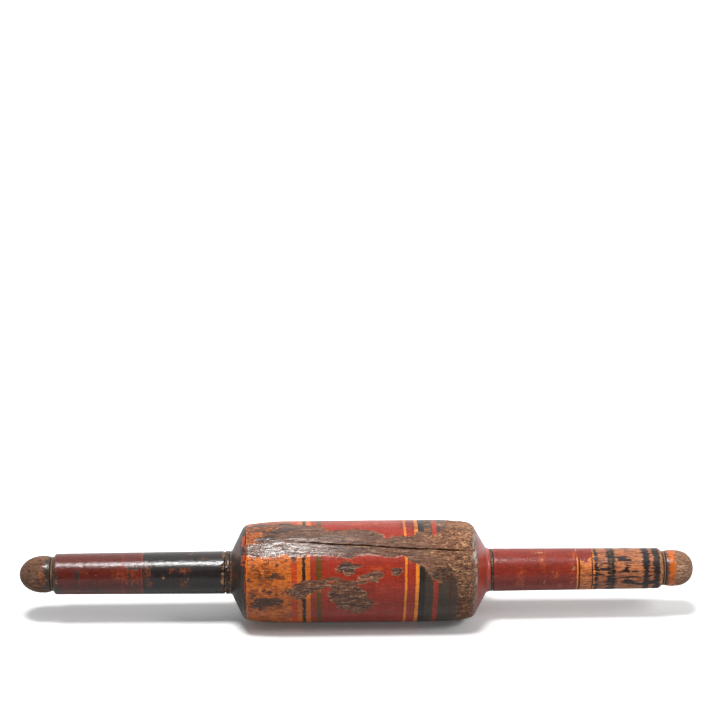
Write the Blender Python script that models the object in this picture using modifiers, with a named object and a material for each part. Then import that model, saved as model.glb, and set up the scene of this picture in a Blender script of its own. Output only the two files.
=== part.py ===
"""Lac-turned rolling pin: a fat wooden barrel on a through axle, with a handle and a domed knob at each end.

Every round piece is turned about its own local Z. The empty lathe_axis lays them all along world X, at the
height where the barrel rests on z = 0. Side -1 is the left end, at -X, and side 1 is the right end, at +X.
"""

import math

import bmesh
import bpy

MM = 0.001
GAP = 0.3 * MM  # clearance between two pieces that touch on the real object
LEFT, RIGHT = -1, 1
SIDE_NAMES = {LEFT: "left", RIGHT: "right"}

# Barrel. Its left shoulder is a little steeper and tighter than its right one.
BARREL_RADIUS = 28.5 * MM
BARREL_HALF = 73.0 * MM  # from the middle to the face of a neck
FLAT_HALF = 40.0 * MM  # half of the stretch that is a true cylinder
EDGE_RADIUS = {LEFT: 27.0 * MM, RIGHT: 27.4 * MM}  # where the crown meets the rounded shoulder
SHOULDER_ROUND = {LEFT: 5.3 * MM, RIGHT: 6.7 * MM}
SHOULDER_ANGLE = {LEFT: math.radians(64), RIGHT: math.radians(60.5)}
COVE_ROUND = {LEFT: 1.0 * MM, RIGHT: 2.5 * MM}
NECK_RADIUS = 12.2 * MM
NECK_LAND = 0.2 * MM
BARREL_STEPS = 32
COVE_STEPS = 4
SHOULDER_STEPS = 5
CROWN_STEPS = 3

# Axle, with a thinner tenon at each end for the knob, saw-cut for a fox wedge
AXLE_RADIUS = 5.5 * MM
TENON_RADIUS = 4.0 * MM
TENON_LENGTH = 10.5 * MM
KERF_WIDTH = 1.6 * MM
KERF_DEPTH = 9.0 * MM
AXLE_STEPS = 24
WEDGE_HEIGHT = 6.4 * MM
WEDGE_THIN_END = 0.4  # of the thick end's thickness

# Handles, which turn on the axle
HANDLE_LENGTH = 96.0 * MM
HANDLE_INNER_RADIUS = 12.0 * MM  # next to the barrel
HANDLE_OUTER_RADIUS = 11.45 * MM  # next to the knob
INNER_EDGE_ROUND = 0.5 * MM
OUTER_EDGE_ROUND = {LEFT: 1.7 * MM, RIGHT: 2.8 * MM}
HANDLE_STEPS = 32
INNER_EDGE_STEPS = 3
OUTER_EDGE_STEPS = 6

# Washers
NECK_WASHER_RADIUS = 12.1 * MM
NECK_WASHER_WIDTH = {LEFT: 2.4 * MM, RIGHT: 1.1 * MM}
END_WASHER_RADIUS = 9.7 * MM
END_WASHER_WIDTH = 0.9 * MM
WASHER_EDGE_ROUND = 0.3 * MM
WASHER_EDGE_STEPS = 2
SLEEVE_BORE_RADIUS = 5.9 * MM  # of the handles and the washers, over the axle

# Knobs: a short swelling from the base, then a dome
KNOB_LENGTH = {LEFT: 18.2 * MM, RIGHT: 16.4 * MM}
KNOB_RADIUS = {LEFT: 10.5 * MM, RIGHT: 10.3 * MM}
KNOB_BASE_RADIUS = 9.7 * MM
KNOB_SWELL = 5.0 * MM  # from the base to the widest place
DOME_POWER = {LEFT: 2.0, RIGHT: 2.3}  # 2 is an ellipse, and more is blunter
DOME_STEPS = 10
SWELL_STEPS = 3

# Where things start along the axis, measured outwards from the barrel's middle
NECK_WASHER_START = BARREL_HALF + GAP
HANDLE_START = {side: NECK_WASHER_START + width + GAP for side, width in NECK_WASHER_WIDTH.items()}
END_WASHER_START = {side: start + HANDLE_LENGTH + GAP for side, start in HANDLE_START.items()}
KNOB_START = {side: start + END_WASHER_WIDTH + GAP for side, start in END_WASHER_START.items()}

# The barrel stands on one of its facets, which lies this far below the axis.
AXIS_HEIGHT = BARREL_RADIUS * math.cos(math.pi / BARREL_STEPS)

RED_LAC = (0.23, 0.028, 0.018, 1)
BLACK_LAC = (0.018, 0.016, 0.017, 1)
BARE_ORANGE = (0.40, 0.14, 0.045, 1)
WORN_BROWN = (0.14, 0.062, 0.032, 1)
CLEAN_WOOD = (0.42, 0.25, 0.12, 1)
LEATHER = (0.20, 0.11, 0.055, 1)

MERGE_DISTANCE = 0.02 * MM
SHARP_ANGLE = math.radians(35)


def clear_scene():
    for obj in list(bpy.data.objects):
        bpy.data.objects.remove(obj, do_unlink=True)


def new_collection(name):
    collection = bpy.data.collections.new(name)
    bpy.context.scene.collection.children.link(collection)
    return collection


def arc(centre, radius, start, end, steps):
    """Points (radius, z) on an arc. An angle of 0 points away from the axis, and a quarter turn along +z."""
    angles = [start + (end - start) * i / steps for i in range(steps + 1)]
    return [(centre[0] + radius * math.cos(a), centre[1] + radius * math.sin(a)) for a in angles]


def place(obj, collection, side, distance, turn=0):
    """Puts a piece on the axis with its own z = 0 at that distance from the middle and its +z outwards."""
    collection.objects.link(obj)
    obj.parent = bpy.data.objects["lathe_axis"]
    obj.location = (0, 0, side * distance)
    obj.rotation_euler = (0 if side == RIGHT else math.pi, 0, turn)


def turned(name, profile, steps, collection, side, distance):
    """A turned piece: points (radius, z) that run down its outer side, spun about its own z.

    A profile that ends on the axis makes a solid piece. Any other profile is closed, as a ring with a bore.
    """
    edges = [(i, i + 1) for i in range(len(profile) - 1)]
    if profile[-1][0] > 0:
        edges.append((len(profile) - 1, 0))
    mesh = bpy.data.meshes.new(name)
    mesh.from_pydata([(radius, 0, z) for radius, z in profile], edges, [])
    obj = bpy.data.objects.new(name, mesh)
    # Half a step of turn brings a facet, and not an edge, to the underside.
    place(obj, collection, side, distance, math.pi / steps)
    spin = obj.modifiers.new("spin", "SCREW")
    spin.axis = "Z"
    spin.angle = 2 * math.pi
    spin.steps = steps
    spin.render_steps = steps
    spin.use_merge_vertices = True
    spin.merge_threshold = MERGE_DISTANCE
    return obj


def block(name, start_width, end_width, height, length):
    """A box from z = 0 to its length. Its width, along x, may taper from one end to the other."""
    shape = bmesh.new()
    bmesh.ops.create_cube(shape, size=1)
    for vert in shape.verts:
        vert.co.x *= end_width if vert.co.z > 0 else start_width
        vert.co.y *= height
        vert.co.z = (vert.co.z + 0.5) * length
    mesh = bpy.data.meshes.new(name)
    shape.to_mesh(mesh)
    shape.free()
    return bpy.data.objects.new(name, mesh)


def finish(obj, color, roughness):
    """Bakes the modifiers in, shades the round faces smooth and gives the piece its own material."""
    bpy.context.view_layer.update()
    evaluated = obj.evaluated_get(bpy.context.evaluated_depsgraph_get())
    obj.data = bpy.data.meshes.new_from_object(evaluated)
    obj.modifiers.clear()
    obj.data.shade_smooth()
    obj.data.set_sharp_from_angle(angle=SHARP_ANGLE)
    material = bpy.data.materials.new(f"{obj.name}_finish")
    material.use_nodes = True
    shader = material.node_tree.nodes["Principled BSDF"]
    shader.inputs["Base Color"].default_value = color
    shader.inputs["Roughness"].default_value = roughness
    shader.inputs["Metallic"].default_value = 0.0
    obj.data.materials.append(material)


def barrel_half(side):
    """One half's outer line as (radius, distance from the middle), from the neck's face inwards."""
    angle, bend, cove_bend = SHOULDER_ANGLE[side], SHOULDER_ROUND[side], COVE_ROUND[side]
    edge_radius = EDGE_RADIUS[side]
    cove = arc((NECK_RADIUS + cove_bend, BARREL_HALF - NECK_LAND), cove_bend, math.pi, math.pi + angle, COVE_STEPS)
    cove_radius, cove_z = cove[-1]
    cone_rise = edge_radius - bend * (1 - math.cos(angle)) - cove_radius
    shoulder_z = cove_z - cone_rise / math.tan(angle) - bend * math.sin(angle)
    shoulder = arc((edge_radius - bend, shoulder_z), bend, angle, 0, SHOULDER_STEPS)
    crown = []
    for i in range(1, CROWN_STEPS + 1):
        share = i / CROWN_STEPS
        fall = (BARREL_RADIUS - edge_radius) * (1 - share) ** 2
        crown.append((BARREL_RADIUS - fall, shoulder_z + (FLAT_HALF - shoulder_z) * share))
    return [(NECK_RADIUS, BARREL_HALF)] + cove + shoulder + crown


def barrel(parts):
    left_line = [(radius, -z) for radius, z in reversed(barrel_half(LEFT))]
    bore = AXLE_RADIUS + GAP
    profile = barrel_half(RIGHT) + left_line + [(bore, -BARREL_HALF), (bore, BARREL_HALF)]
    finish(turned("barrel", profile, BARREL_STEPS, parts, RIGHT, 0), RED_LAC, 0.35)


def axle(parts, cutters):
    """A plain rod with a tenon at each end. A saw cut along each tenon takes its fox wedge."""
    line = {}
    for side, start in KNOB_START.items():
        tip, shoulder = start + TENON_LENGTH, start - GAP
        line[side] = [(0, tip), (TENON_RADIUS, tip), (TENON_RADIUS, shoulder), (AXLE_RADIUS, shoulder)]
    left_line = [(radius, -z) for radius, z in reversed(line[LEFT])]
    rod = turned("axle", line[RIGHT] + left_line, AXLE_STEPS, parts, RIGHT, 0)
    for side, name in SIDE_NAMES.items():
        overshoot = 2 * MM
        cutter = block(f"{name}_kerf", KERF_WIDTH, KERF_WIDTH, 3 * TENON_RADIUS, KERF_DEPTH + overshoot)
        place(cutter, cutters, side, KNOB_START[side] + TENON_LENGTH - KERF_DEPTH)
        cutter.hide_render = True
        cutter.display_type = "WIRE"
        cut = rod.modifiers.new(cutter.name, "BOOLEAN")
        cut.operation = "DIFFERENCE"
        cut.object = cutter
    finish(rod, CLEAN_WOOD, 0.6)


def knob_wedge(side, parts):
    """The fox wedge: thin end towards the barrel, thick end against the bottom of the knob's hole."""
    length = KERF_DEPTH - GAP
    thick = KERF_WIDTH - 2 * GAP
    wedge = block(f"{SIDE_NAMES[side]}_knob_wedge", WEDGE_THIN_END * thick, thick, WEDGE_HEIGHT, length)
    place(wedge, parts, side, KNOB_START[side] + TENON_LENGTH - length)
    finish(wedge, CLEAN_WOOD, 0.6)


def handle(side, parts):
    """A sleeve that tapers slightly outwards, with its outer edge rounded for the hand."""
    outer, inner = OUTER_EDGE_ROUND[side], INNER_EDGE_ROUND
    profile = arc((HANDLE_OUTER_RADIUS - outer, HANDLE_LENGTH - outer), outer, math.pi / 2, 0, OUTER_EDGE_STEPS)
    profile += arc((HANDLE_INNER_RADIUS - inner, inner), inner, 0, -math.pi / 2, INNER_EDGE_STEPS)
    profile += [(SLEEVE_BORE_RADIUS, 0), (SLEEVE_BORE_RADIUS, HANDLE_LENGTH)]
    color = RED_LAC if side == LEFT else BARE_ORANGE
    name = f"{SIDE_NAMES[side]}_handle"
    finish(turned(name, profile, HANDLE_STEPS, parts, side, HANDLE_START[side]), color, 0.3)


def washer(name, width, radius, color, parts, side, distance):
    edge = WASHER_EDGE_ROUND
    profile = arc((radius - edge, width - edge), edge, math.pi / 2, 0, WASHER_EDGE_STEPS)
    profile += arc((radius - edge, edge), edge, 0, -math.pi / 2, WASHER_EDGE_STEPS)
    profile += [(SLEEVE_BORE_RADIUS, 0), (SLEEVE_BORE_RADIUS, width)]
    finish(turned(name, profile, HANDLE_STEPS, parts, side, distance), color, 0.5)


def end_knob(side, parts):
    """A domed button with a blind hole for the axle's tenon."""
    profile = []
    for i in range(DOME_STEPS + 1):
        angle = math.pi / 2 * i / DOME_STEPS
        radius = KNOB_RADIUS[side] * math.sin(angle) ** (2 / DOME_POWER[side])
        rise = (KNOB_LENGTH[side] - KNOB_SWELL) * abs(math.cos(angle)) ** (2 / DOME_POWER[side])
        profile.append((radius, KNOB_SWELL + rise))
    for i in range(1, SWELL_STEPS + 1):
        share = 1 - i / SWELL_STEPS
        swell = (KNOB_RADIUS[side] - KNOB_BASE_RADIUS) * math.sin(math.pi / 2 * share)
        profile.append((KNOB_BASE_RADIUS + swell, KNOB_SWELL * share))
    hole_radius, hole_depth = TENON_RADIUS + GAP, TENON_LENGTH + GAP
    profile += [(hole_radius, 0), (hole_radius, hole_depth), (0, hole_depth)]
    name = f"{SIDE_NAMES[side]}_end_knob"
    finish(turned(name, profile, HANDLE_STEPS, parts, side, KNOB_START[side]), WORN_BROWN, 0.45)


def main():
    clear_scene()
    parts = new_collection("rolling_pin")
    cutters = new_collection("cutters")
    lathe_axis = bpy.data.objects.new("lathe_axis", None)
    parts.objects.link(lathe_axis)
    lathe_axis.location = (0, 0, AXIS_HEIGHT)
    lathe_axis.rotation_euler = (0, math.pi / 2, 0)

    barrel(parts)
    axle(parts, cutters)
    for side, name in SIDE_NAMES.items():
        neck_width, end_start = NECK_WASHER_WIDTH[side], END_WASHER_START[side]
        washer(f"{name}_neck_washer", neck_width, NECK_WASHER_RADIUS, BLACK_LAC, parts, side, NECK_WASHER_START)
        handle(side, parts)
        washer(f"{name}_end_washer", END_WASHER_WIDTH, END_WASHER_RADIUS, LEATHER, parts, side, end_start)
        end_knob(side, parts)
        knob_wedge(side, parts)


main()
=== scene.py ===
"""Looks of the rolling pin: worn lac in coloured bands over turned hardwood.

Lengths are in millimetres and angles in degrees, if nothing else is said. x runs along the axle from the
barrel's middle. An angle is measured round the axle: 0 faces the front, 90 the top and 180 the back.
"""

import math
from functools import partial

import bpy
import numpy as np
from mathutils import Matrix, Vector, noise


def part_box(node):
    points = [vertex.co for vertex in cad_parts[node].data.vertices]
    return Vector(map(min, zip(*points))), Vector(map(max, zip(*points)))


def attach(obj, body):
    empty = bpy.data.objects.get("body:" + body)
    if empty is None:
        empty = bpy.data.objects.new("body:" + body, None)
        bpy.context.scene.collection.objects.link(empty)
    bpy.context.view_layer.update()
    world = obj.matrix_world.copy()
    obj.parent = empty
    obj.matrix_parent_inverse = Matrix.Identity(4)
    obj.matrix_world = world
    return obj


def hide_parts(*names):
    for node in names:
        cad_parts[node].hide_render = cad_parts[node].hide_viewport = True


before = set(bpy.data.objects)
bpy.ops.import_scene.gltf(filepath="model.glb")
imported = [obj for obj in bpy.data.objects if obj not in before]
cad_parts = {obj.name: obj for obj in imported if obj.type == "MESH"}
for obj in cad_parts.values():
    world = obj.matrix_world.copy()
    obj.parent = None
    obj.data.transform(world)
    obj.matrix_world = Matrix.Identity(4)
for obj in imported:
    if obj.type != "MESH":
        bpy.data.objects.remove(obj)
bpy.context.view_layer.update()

MM = 0.001
LEFT, RIGHT = -1, 1
SIDE_NAMES = {LEFT: "left", RIGHT: "right"}
OUTSIDE = -9.0  # an inside distance well outside every patch

# Colours, linear
RED = (0.27, 0.024, 0.011)
DARK_RED = (0.26, 0.027, 0.013)
FIELD_RED = (0.29, 0.028, 0.013)
LINE_TAN = (0.40, 0.25, 0.16)
LINE_RED = (0.17, 0.020, 0.008)
RIM_RED = (0.30, 0.036, 0.020)
WINE = (0.088, 0.009, 0.004)
VERMILION = (0.42, 0.050, 0.010)
ORANGE = (0.53, 0.125, 0.012)
YELLOW = (0.72, 0.215, 0.022)
OLIVE = (0.100, 0.049, 0.005)
DARK_OLIVE = (0.050, 0.034, 0.022)
BLACK = (0.022, 0.015, 0.013)
RIM_BROWN = (0.115, 0.060, 0.042)
# painted highlight: grey sheen on the worn rim of the right shoulder
RIM_SHEEN_GREY = (0.45, 0.38, 0.33)
# painted highlight along the broken edges of the lac
EDGE_HIGHLIGHT_TAN = (0.60, 0.34, 0.19)
WOOD_ORANGE = (0.52, 0.130, 0.020)
ORANGE_WOOD = (0.56, 0.17, 0.045)
HANDLE_WOOD = (0.42, 0.142, 0.054)
HANDLE_RED = (0.198, 0.021, 0.011)
HANDLE_BLACK = (0.014, 0.010, 0.009)
CONE_BLACK = (0.034, 0.024, 0.020)
KNOB_ORANGE = (0.50, 0.105, 0.008)
THIN_LAC = (0.55, 0.115, 0.022)
BARE_DARK = (0.022, 0.010, 0.007)
BARE_MID = (0.165, 0.065, 0.034)
BARE_LIGHT = (0.52, 0.295, 0.16)
FURRY_LIGHT = (0.62, 0.355, 0.18)
REMNANT = (0.17, 0.026, 0.014)
WEATHERED = (0.085, 0.044, 0.031)
TUFT_BROWN = (0.24, 0.105, 0.052)
# painted shade inside the crack
SLIT_SHADE_BLACK = (0.006, 0.004, 0.003)
KNOB_RUST = (0.30, 0.07, 0.018)
HANDLE_RUST = (0.40, 0.085, 0.020)
# What the lac is multiplied by under dark lines of grain, and under grime
GRAIN_TINT = (0.24, 0.18, 0.30)
GRIME_TINT = (0.34, 0.30, 0.50)
# Stains
BURN_BROWN = (0.070, 0.030, 0.017)
LEFT_HANDLE_BROWN = (0.030, 0.018, 0.014)
RING_BLACK = (0.007, 0.006, 0.007)
KNOB_STAIN = {LEFT: (0.030, 0.017, 0.012), RIGHT: (0.045, 0.033, 0.028)}
# Dark, middle and light of the other woods and of the leather
HANDLE_GRAIN = {
    LEFT: ((0.08, 0.035, 0.018), (0.24, 0.11, 0.050), (0.50, 0.28, 0.14)),
    RIGHT: ((0.14, 0.055, 0.030), (0.42, 0.18, 0.08), (0.62, 0.34, 0.17)),
}
KNOB_GRAIN = {
    LEFT: ((0.032, 0.014, 0.009), (0.148, 0.067, 0.036), (0.34, 0.17, 0.085)),
    RIGHT: ((0.090, 0.038, 0.020), (0.31, 0.155, 0.088), (0.75, 0.48, 0.31)),
}
WASHER_GRAIN = ((0.07, 0.035, 0.02), (0.26, 0.14, 0.07), (0.55, 0.34, 0.19))
CLEAN_GRAIN = ((0.20, 0.10, 0.045), (0.42, 0.25, 0.12), (0.58, 0.38, 0.21))
LEATHER = ((0.04, 0.022, 0.013), (0.15, 0.083, 0.045), (0.36, 0.22, 0.12))


def added(name, data):
    """A new object, linked to the scene."""
    obj = bpy.data.objects.new(name, data)
    bpy.context.scene.collection.objects.link(obj)
    return obj


# ---------------- turned meshes


def centre_height():
    low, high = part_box("barrel")
    return (low.z + high.z) / 2 / MM


AXLE_HEIGHT = centre_height()
SHARP_EDGE = 50


def arc(centre, radius, start, end, spacing):
    """Points (x, radius) on an arc. An angle of 90 points away from the axle, and 0 along +x."""
    steps = max(2, math.ceil(radius * math.radians(abs(end - start)) / spacing))
    angles = [math.radians(start + (end - start) * i / steps) for i in range(steps + 1)]
    return [(centre[0] + radius * math.cos(t), centre[1] + radius * math.sin(t)) for t in angles]


def spaced(outline, spacing):
    """The same outline with points added wherever two are further apart than that spacing."""
    points = [outline[0]]
    for (x0, r0), (x1, r1) in zip(outline, outline[1:]):
        steps = max(1, math.ceil(math.hypot(x1 - x0, r1 - r0) / spacing))
        points += [(x0 + (x1 - x0) * i / steps, r0 + (r1 - r0) * i / steps) for i in range(1, steps + 1)]
    return np.array(points)


def turned(name, outline, angles, wear, body, material, closed=True):
    """Spins an outline that runs along +x on its outer side.

    wear gives each point's inward cut, and its paint, which is stored as attributes for the material.
    """
    columns = angles.shape[-1]
    x = np.repeat(outline[:, :1], columns, axis=1)
    radius = np.repeat(outline[:, 1:], columns, axis=1)
    angle = np.broadcast_to(angles, x.shape)
    cut, paint = wear(x, radius, angle)
    deep = np.maximum(radius - cut, 0)
    turn = np.radians(angle)
    height = np.maximum(AXLE_HEIGHT + deep * np.sin(turn), 0)
    points = np.stack([x, -deep * np.cos(turn), height], axis=-1) * MM
    rows = len(outline)
    index = np.arange(rows * columns).reshape(rows, columns)
    for row in (0, rows - 1):
        if outline[row, 1] == 0:  # all points of a row on the axis become one
            index[row] = index[row, 0]
    following = np.roll(index, -1, axis=1)
    last = rows if closed else rows - 1
    above = np.roll(index, -1, axis=0)
    quads = np.stack([index, above, np.roll(above, -1, axis=1), following], axis=-1)[:last].reshape(-1, 4)
    faces = [list(dict.fromkeys(face)) for face in quads.tolist()]
    mesh = bpy.data.meshes.new(name)
    mesh.from_pydata(points.reshape(-1, 3).tolist(), [], faces)
    for key, values in paint.items():
        store = mesh.attributes.new(key, "FLOAT", "POINT")
        store.data.foreach_set("value", np.ascontiguousarray(values, np.float32).reshape(-1))
    mesh.shade_smooth()
    mesh.set_sharp_from_angle(angle=math.radians(SHARP_EDGE))
    mesh.materials.append(material)
    obj = added(name, mesh)
    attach(obj, body)
    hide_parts(name.removeprefix("worn_"))


# ---------------- wear fields

# How much weaker and finer each octave of the noise is
FRACTAL_INCREMENT = 1.0
LACUNARITY = 2.1


def fractal(x, radius, angle, size, stretch=1.0, *, octaves, seed):
    """Smooth noise, about -1 to 1. Its features have that size, drawn out along x by stretch."""
    turn = np.radians(angle)
    points = np.stack([x / stretch, radius * np.cos(turn), radius * np.sin(turn)], axis=-1) / size
    flat = points.reshape(-1, 3) + (seed, 2 * seed, 3 * seed)
    values = [noise.fractal(point, FRACTAL_INCREMENT, LACUNARITY, octaves) for point in flat.tolist()]
    return np.array(values).reshape(x.shape)


def inside(x, arc_length, corners, radius):
    """How far each point lies inside a patch with those corners (x, angle). It is negative outside."""
    px, py = x.ravel(), arc_length.ravel()
    corner_x = np.array([c[0] for c in corners], float)
    corner_y = np.radians([c[1] for c in corners]) * radius
    nearest = np.full(px.shape, np.inf)
    crossings = np.zeros(px.shape, bool)
    for i in range(len(corners)):
        ax, ay = corner_x[i - 1], corner_y[i - 1]
        bx, by = corner_x[i], corner_y[i]
        share = ((px - ax) * (bx - ax) + (py - ay) * (by - ay)) / ((bx - ax) ** 2 + (by - ay) ** 2)
        share = np.clip(share, 0, 1)
        nearest = np.minimum(nearest, np.hypot(px - ax - share * (bx - ax), py - ay - share * (by - ay)))
        if ay != by:
            straddles = (ay > py) != (by > py)
            crossings ^= straddles & (px < (bx - ax) * (py - ay) / (by - ay) + ax)
    return np.where(crossings, nearest, -nearest).reshape(x.shape)


def spots(x, angle, ovals, radius):
    """How far each point lies inside the nearest of those ovals (x, angle, half length, half width)."""
    found = np.full(x.shape, OUTSIDE)
    for place, turn, half_length, half_width in ovals:
        across = np.radians(wrapped(angle - turn)) * radius
        reach = np.hypot((x - place) / half_length, across / half_width)
        found = np.maximum(found, (1 - reach) * min(half_length, half_width))
    return found


def step(value, low, high):
    """A smooth step from 0 at low to 1 at high."""
    t = np.clip((value - low) / (high - low), 0, 1)
    return t * t * (3 - 2 * t)


def wrapped(angle):
    """The same direction as -180 to 180."""
    return (angle + 180) % 360 - 180


# ---------------- barrel

BARREL_RADIUS = 28.5
BARREL_HALF = 73.0
NECK_RADIUS = 12.2
BORE_RADIUS = 5.8
BARREL_SPACING = 0.6
BARREL_COLUMNS = 330
EDGE_RADIUS = {LEFT: 27.0, RIGHT: 27.4}
SHOULDER_ROUND = {LEFT: 5.3, RIGHT: 6.7}
SHOULDER_ANGLE = {LEFT: 64.0, RIGHT: 60.5}
COVE_ROUND = {LEFT: 1.0, RIGHT: 2.5}
NECK_CHAMFER = (0.1, 0.25)  # along x, and inwards
COVE_START = 0.2  # from the barrel's end
FLAT_HALF = 40.0  # the middle is straight as far as here

# The long drying crack, as (x, angle)
CRACK = ((-36, 63), (-26, 62), (-17, 60), (2, 58), (17, 55), (31, 53), (44, 52), (60, 51))
CRACK_DEPTH = 3.2
CRACK_HALF_WIDTH = 0.23
CRACK_OPEN = (-20, 50)  # it tapers outside these places along x
# Distances of the columns of points beside the crack, and of the first one of the even rest
CRACK_COLUMNS = (0, 0.12, 0.3, 0.55, 0.9, 1.4)
EVEN_COLUMNS_START = 1.9

# Bare wood: corners of each patch, as (x, angle)
BARE_STRIP = (
    (-64, 60), (-64, 50), (-58, 44), (-51, 43), (-46, 48), (-41, 49), (-38.3, 44), (-36.6, 37.5), (-34.6, 46),
    (-28, 47), (-20, 45.5), (-11, 44), (-6, 41.5), (0, 46), (6, 47), (18, 43), (25, 43.5), (26.5, 38),
    (35, 33), (37.5, 25), (40, 17), (44, 16), (50, 22), (58, 16), (60, 60), (56, 102), (48, 84), (44.5, 77),
    (40.5, 70), (35, 73), (31.5, 75), (28.5, 69), (18, 71), (15, 68.5), (11.5, 73), (8, 78), (2.5, 80),
    (-4, 82), (-11, 80), (-18, 81), (-23, 88), (-31, 93), (-40, 94), (-46, 84), (-50, 70), (-56, 63),
)
BARE_PATCHES = (
    # a small cross, and the large patch under it with a streak beside it
    ((-14.3, 30), (-11, 34.5), (-8.9, 39.5), (-6, 37), (-1, 33), (-2, 29), (-5, 27), (-5.8, 22.5), (-9.4, 23),
     (-10, 28)),
    ((-12.5, 16), (-17, 8), (-18.5, -3), (-14, -11), (-11, -19), (-4, -25.5), (-3, -29), (2, -23), (8.3, -12),
     (4, -3), (1, 7), (-4, 16), (-8, 18)),
    ((-3, 20.5), (1, 24), (8, 27.5), (11, 26), (9, 21), (3, 19), (-1, 17.5)),
    # over the bands near the left end
    ((-38.8, 8), (-37.5, 15), (-33, 16.5), (-27.6, 18), (-20, 17.5), (-15, 13), (-20.8, 8), (-26, 6),
     (-28, 1), (-32, -4), (-36.6, -5), (-38.8, 0)),
    # underneath and behind
    ((-34, -70), (-22, -64), (-8, -68), (-2, -76), (-14, -82), (-30, -79)),
    ((14, -98), (26, -92), (30, -104), (21, -112), (12, -108)),
    ((-30, 141), (-16, 146), (2, 143), (15, 148), (22, 153), (10, 158), (-8, 155), (-24, 156)),
    ((-12, 183), (-3, 188), (3, 196), (-6, 199), (-14, 192)),
    ((30, 168), (37, 173), (44, 171), (47, 180), (38, 186), (32, 178)),
    ((-63, 118), (-52, 121), (-44, 127), (-50, 133), (-62, 131)),
    ((-46, 214), (-35, 211), (-27, 216), (-33, 223), (-44, 221)),
    ((6, 228), (17, 224), (27, 231), (18, 238), (9, 236)),
)
# Scuffed places, bare only in shreds
BARREL_SCUFFS = (
    ((-30, 21), (-20, 23), (-8, 22), (-2, 19), (-1, 13), (-12, 9), (-21, 11)),
    ((-5, 18), (0, 26), (9, 30), (13, 24), (8, 16), (0, 13)),
    ((16.5, 28), (18.5, 33), (22.5, 33), (23, 27), (20, 22), (17, 24)),
    ((36, 76), (39.5, 76), (39.5, 104), (36, 104)),
    ((45, 82), (57, 100), (50, 112), (42, 104), (43.5, 90)),
    ((-15, 31), (-8, 42), (0, 35), (-1, 28), (-8, 21), (-12, 26)),
    ((-30, 60), (-38, 98), (-52, 92), (-58, 66)),
    ((30, 196), (44, 192), (46, 206), (33, 210)),
    ((-20, 230), (-6, 226), (-3, 238), (-16, 240)),
)
# Ovals where the lac is worn thin, and burnt ones: (x, angle, half length, half width)
BARREL_THIN = (
    (-14, 17, 11, 2), (10, 30, 6, 1.5), (6, 100, 20, 6), (-40, 70, 9, 2), (12, 5, 3, 2), (-68, 62, 2, 6),
    (-69, 20, 1.5, 3), (62.6, -20, 0.7, 2.6), (62.4, 12, 0.6, 1.4), (62, 24, 0.6, 1), (0, 190, 14, 5),
    (-5, -60, 16, 3), (15, 240, 9, 3),
)
BARREL_STAINS = (
    (-60.5, 33, 1.8, 1.2), (-60.3, 26, 2.2, 1), (-47.2, 24, 3.4, 2.4), (-58, 17, 5, 0.9),
    (-51, -10, 9.5, 3.6), (-58, -7, 3, 2.2), (-38.8, -26, 3.6, 0.7), (-52, 7, 8, 0.6), (-46, 36, 1.4, 0.7),
    (-56, 66, 6, 1.2), (-55, 158, 5, 2.4), (-48, 172, 7, 1.4), (-57, 204, 3, 3), (-50, -52, 7, 1.6),
    (-58, -78, 4, 2.2), (-45, -96, 5, 1.4), (-7, 31, 7, 3.5), (46, 24, 8, 4), (21.2, 16, 0.8, 0.6),
    (1.5, -33, 2, 0.25), (8, 70, 1.4, 0.8), (-53, 68, 8, 3.5), (-45, 82, 7, 3), (-58, 84, 6, 2.5),
    (-56, 97, 9, 3), (-42, 97, 6, 2.5), (-50, 22, 11, 1.6), (-48, 4, 9, 1.2), (-60, -2, 2.5, 3),
    (-46, -6.5, 7, 2.8), (-55, -15.5, 7.5, 2.6),
)
# Where the bare rough end starts and stops along x. The start is a list of (angle, x).
RIM_WEAR_START = ((-180, 51.5), (-140, 50.0), (-100, 53.5), (-60, 54.5), (-36, 53.5), (0, 53.6), (20, 53.2),
                  (60, 52.0), (95, 47.5), (125, 49.5), (160, 53.0), (180, 51.5))
RIM_WEAR_END = 62.6

# Bands of lac: (x where it starts, colour, how far the grain shows through)
BARREL_BANDS = (
    (-73.0, CONE_BLACK, 0), (-66.7, VERMILION, 0), (-64.4, BLACK, 0), (-64.0, ORANGE, 0),
    (-63.3, WOOD_ORANGE, 1), (-38.5, VERMILION, 0), (-35.7, ORANGE, 0.35), (-32.6, BLACK, 0),
    (-30.8, ORANGE, 0.35), (-28.1, DARK_RED, 0), (-24.6, OLIVE, 0), (-22.5, RED, 0),
    (23.8, YELLOW, 0.15), (25.5, FIELD_RED, 0), (29.9, YELLOW, 0.15), (31.9, BLACK, 0),
    (35.0, LINE_TAN, 0), (35.5, DARK_OLIVE, 0), (39.7, FIELD_RED, 0), (42.5, DARK_OLIVE, 0),
    (48.8, WINE, 0), (49.9, DARK_OLIVE, 0), (61.6, RIM_BROWN, 0), (65.0, RIM_RED, 0),
)
# What is left of the vermilion ring on the left shoulder, as (angle from, angle to), and its edge along x
RING_EDGE = -64.2
RING_CHIPS = ((37.5, 49.5), (62, 79), (118, 131), (150, 171), (203, 212), (236, 261), (301, 309))
# Brown grime in the clear coat
BARREL_GRIME = (
    (-50, 86, 19, 12), (-60, 72, 6, 8), (-51, -11, 12, 4.5), (-55, 28, 8, 3.5), (-61, 60, 4, 8),
    (-40, -30, 5, 2), (27.5, 92, 6, 9), (-33, 84, 6, 6), (-52, 190, 14, 8), (-44, 262, 12, 6),
    (28, 150, 6, 7),
)
# How far the bands lean at the right end: (angle, shift along x)
BAND_LEAN = ((-180, -0.3), (-90, -0.9), (-40, -0.9), (0, -0.45), (30, 0.0), (55, 0.0), (90, -0.2),
             (180, -0.3))


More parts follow.
